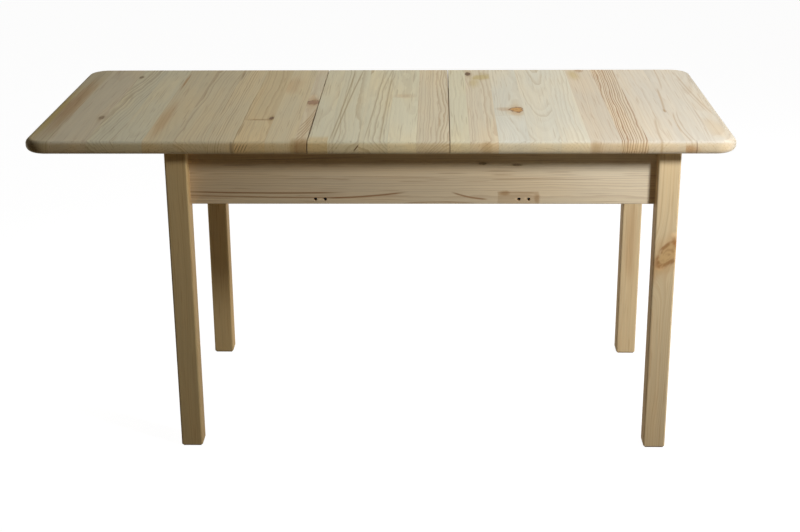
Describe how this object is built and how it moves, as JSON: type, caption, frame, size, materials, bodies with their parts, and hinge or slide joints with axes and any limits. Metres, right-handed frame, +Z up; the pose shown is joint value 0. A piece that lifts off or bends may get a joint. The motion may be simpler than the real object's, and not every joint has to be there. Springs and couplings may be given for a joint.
{
  "type": "extending dining table",
  "caption": "Extending pine dining table on square legs: two sliding end leaves on grooved runners, and a drop-in insert leaf between them.",
  "frame": {"origin": "on the floor, under the middle of the drawn-out top", "axes": "+X along the table's length to the right, +Y to the back, +Z up"},
  "size_m": [1.5, 0.7, 0.733],
  "materials": {
    "pine_top": "matt, bare sanded pine",
    "pine_legs": "matt, bare sanded pine",
    "pine_frame": "matt, bare sanded pine",
    "beech": "waxed hardwood",
    "steel": "zinc plated"
  },
  "bodies": {
    "frame": {"front_left_leg": "pine_legs", "front_right_leg": "pine_legs", "rear_left_leg": "pine_legs", "rear_right_leg": "pine_legs", "front_apron": "pine_frame", "rear_apron": "pine_frame", "left_apron": "pine_frame", "right_apron": "pine_frame", "front_left_corner_block": "pine_frame", "front_right_corner_block": "pine_frame", "rear_left_corner_block": "pine_frame", "rear_right_corner_block": "pine_frame", "left_bearer": "pine_frame", "right_bearer": "pine_frame", "front_guide": "beech", "rear_guide": "beech", "apron_dowels": "beech", "hanger_bolts": "steel", "hanger_washers": "steel", "hanger_nuts": "steel", "corner_block_screws": "steel", "bearer_screws": "steel", "guide_screws": "steel"},
    "left_leaf": {"left_stave_1": "pine_top", "left_stave_2": "pine_top", "left_stave_3": "pine_top", "left_stave_4": "pine_top", "left_stave_5": "pine_top", "left_stave_6": "pine_top", "left_stave_7": "pine_top", "left_stave_8": "pine_top", "left_stave_9": "pine_top", "left_stave_10": "pine_top", "left_front_runner": "beech", "left_rear_runner": "beech", "left_runner_screws": "steel", "left_locating_pins": "beech"},
    "right_leaf": {"right_stave_1": "pine_top", "right_stave_2": "pine_top", "right_stave_3": "pine_top", "right_stave_4": "pine_top", "right_stave_5": "pine_top", "right_stave_6": "pine_top", "right_stave_7": "pine_top", "right_stave_8": "pine_top", "right_stave_9": "pine_top", "right_stave_10": "pine_top", "right_front_runner": "beech", "right_rear_runner": "beech", "right_runner_screws": "steel", "right_locating_pins": "beech"},
    "insert_leaf": {"insert_stave_1": "pine_top", "insert_stave_2": "pine_top", "insert_stave_3": "pine_top", "insert_stave_4": "pine_top", "insert_stave_5": "pine_top"}
  },
  "joints": [
    {"name": "left_leaf_slide", "type": "slide", "parent": "frame", "child": "left_leaf", "axis": [-1, 0, 0], "range_m": [0, 0.02]},
    {"name": "right_leaf_slide", "type": "slide", "parent": "frame", "child": "right_leaf", "axis": [1, 0, 0], "range_m": [0, 0.2]},
    {"name": "insert_leaf_lift", "type": "slide", "parent": "frame", "child": "insert_leaf", "axis": [0, 0, 1], "range_m": [0, 0.3]}
  ]
}
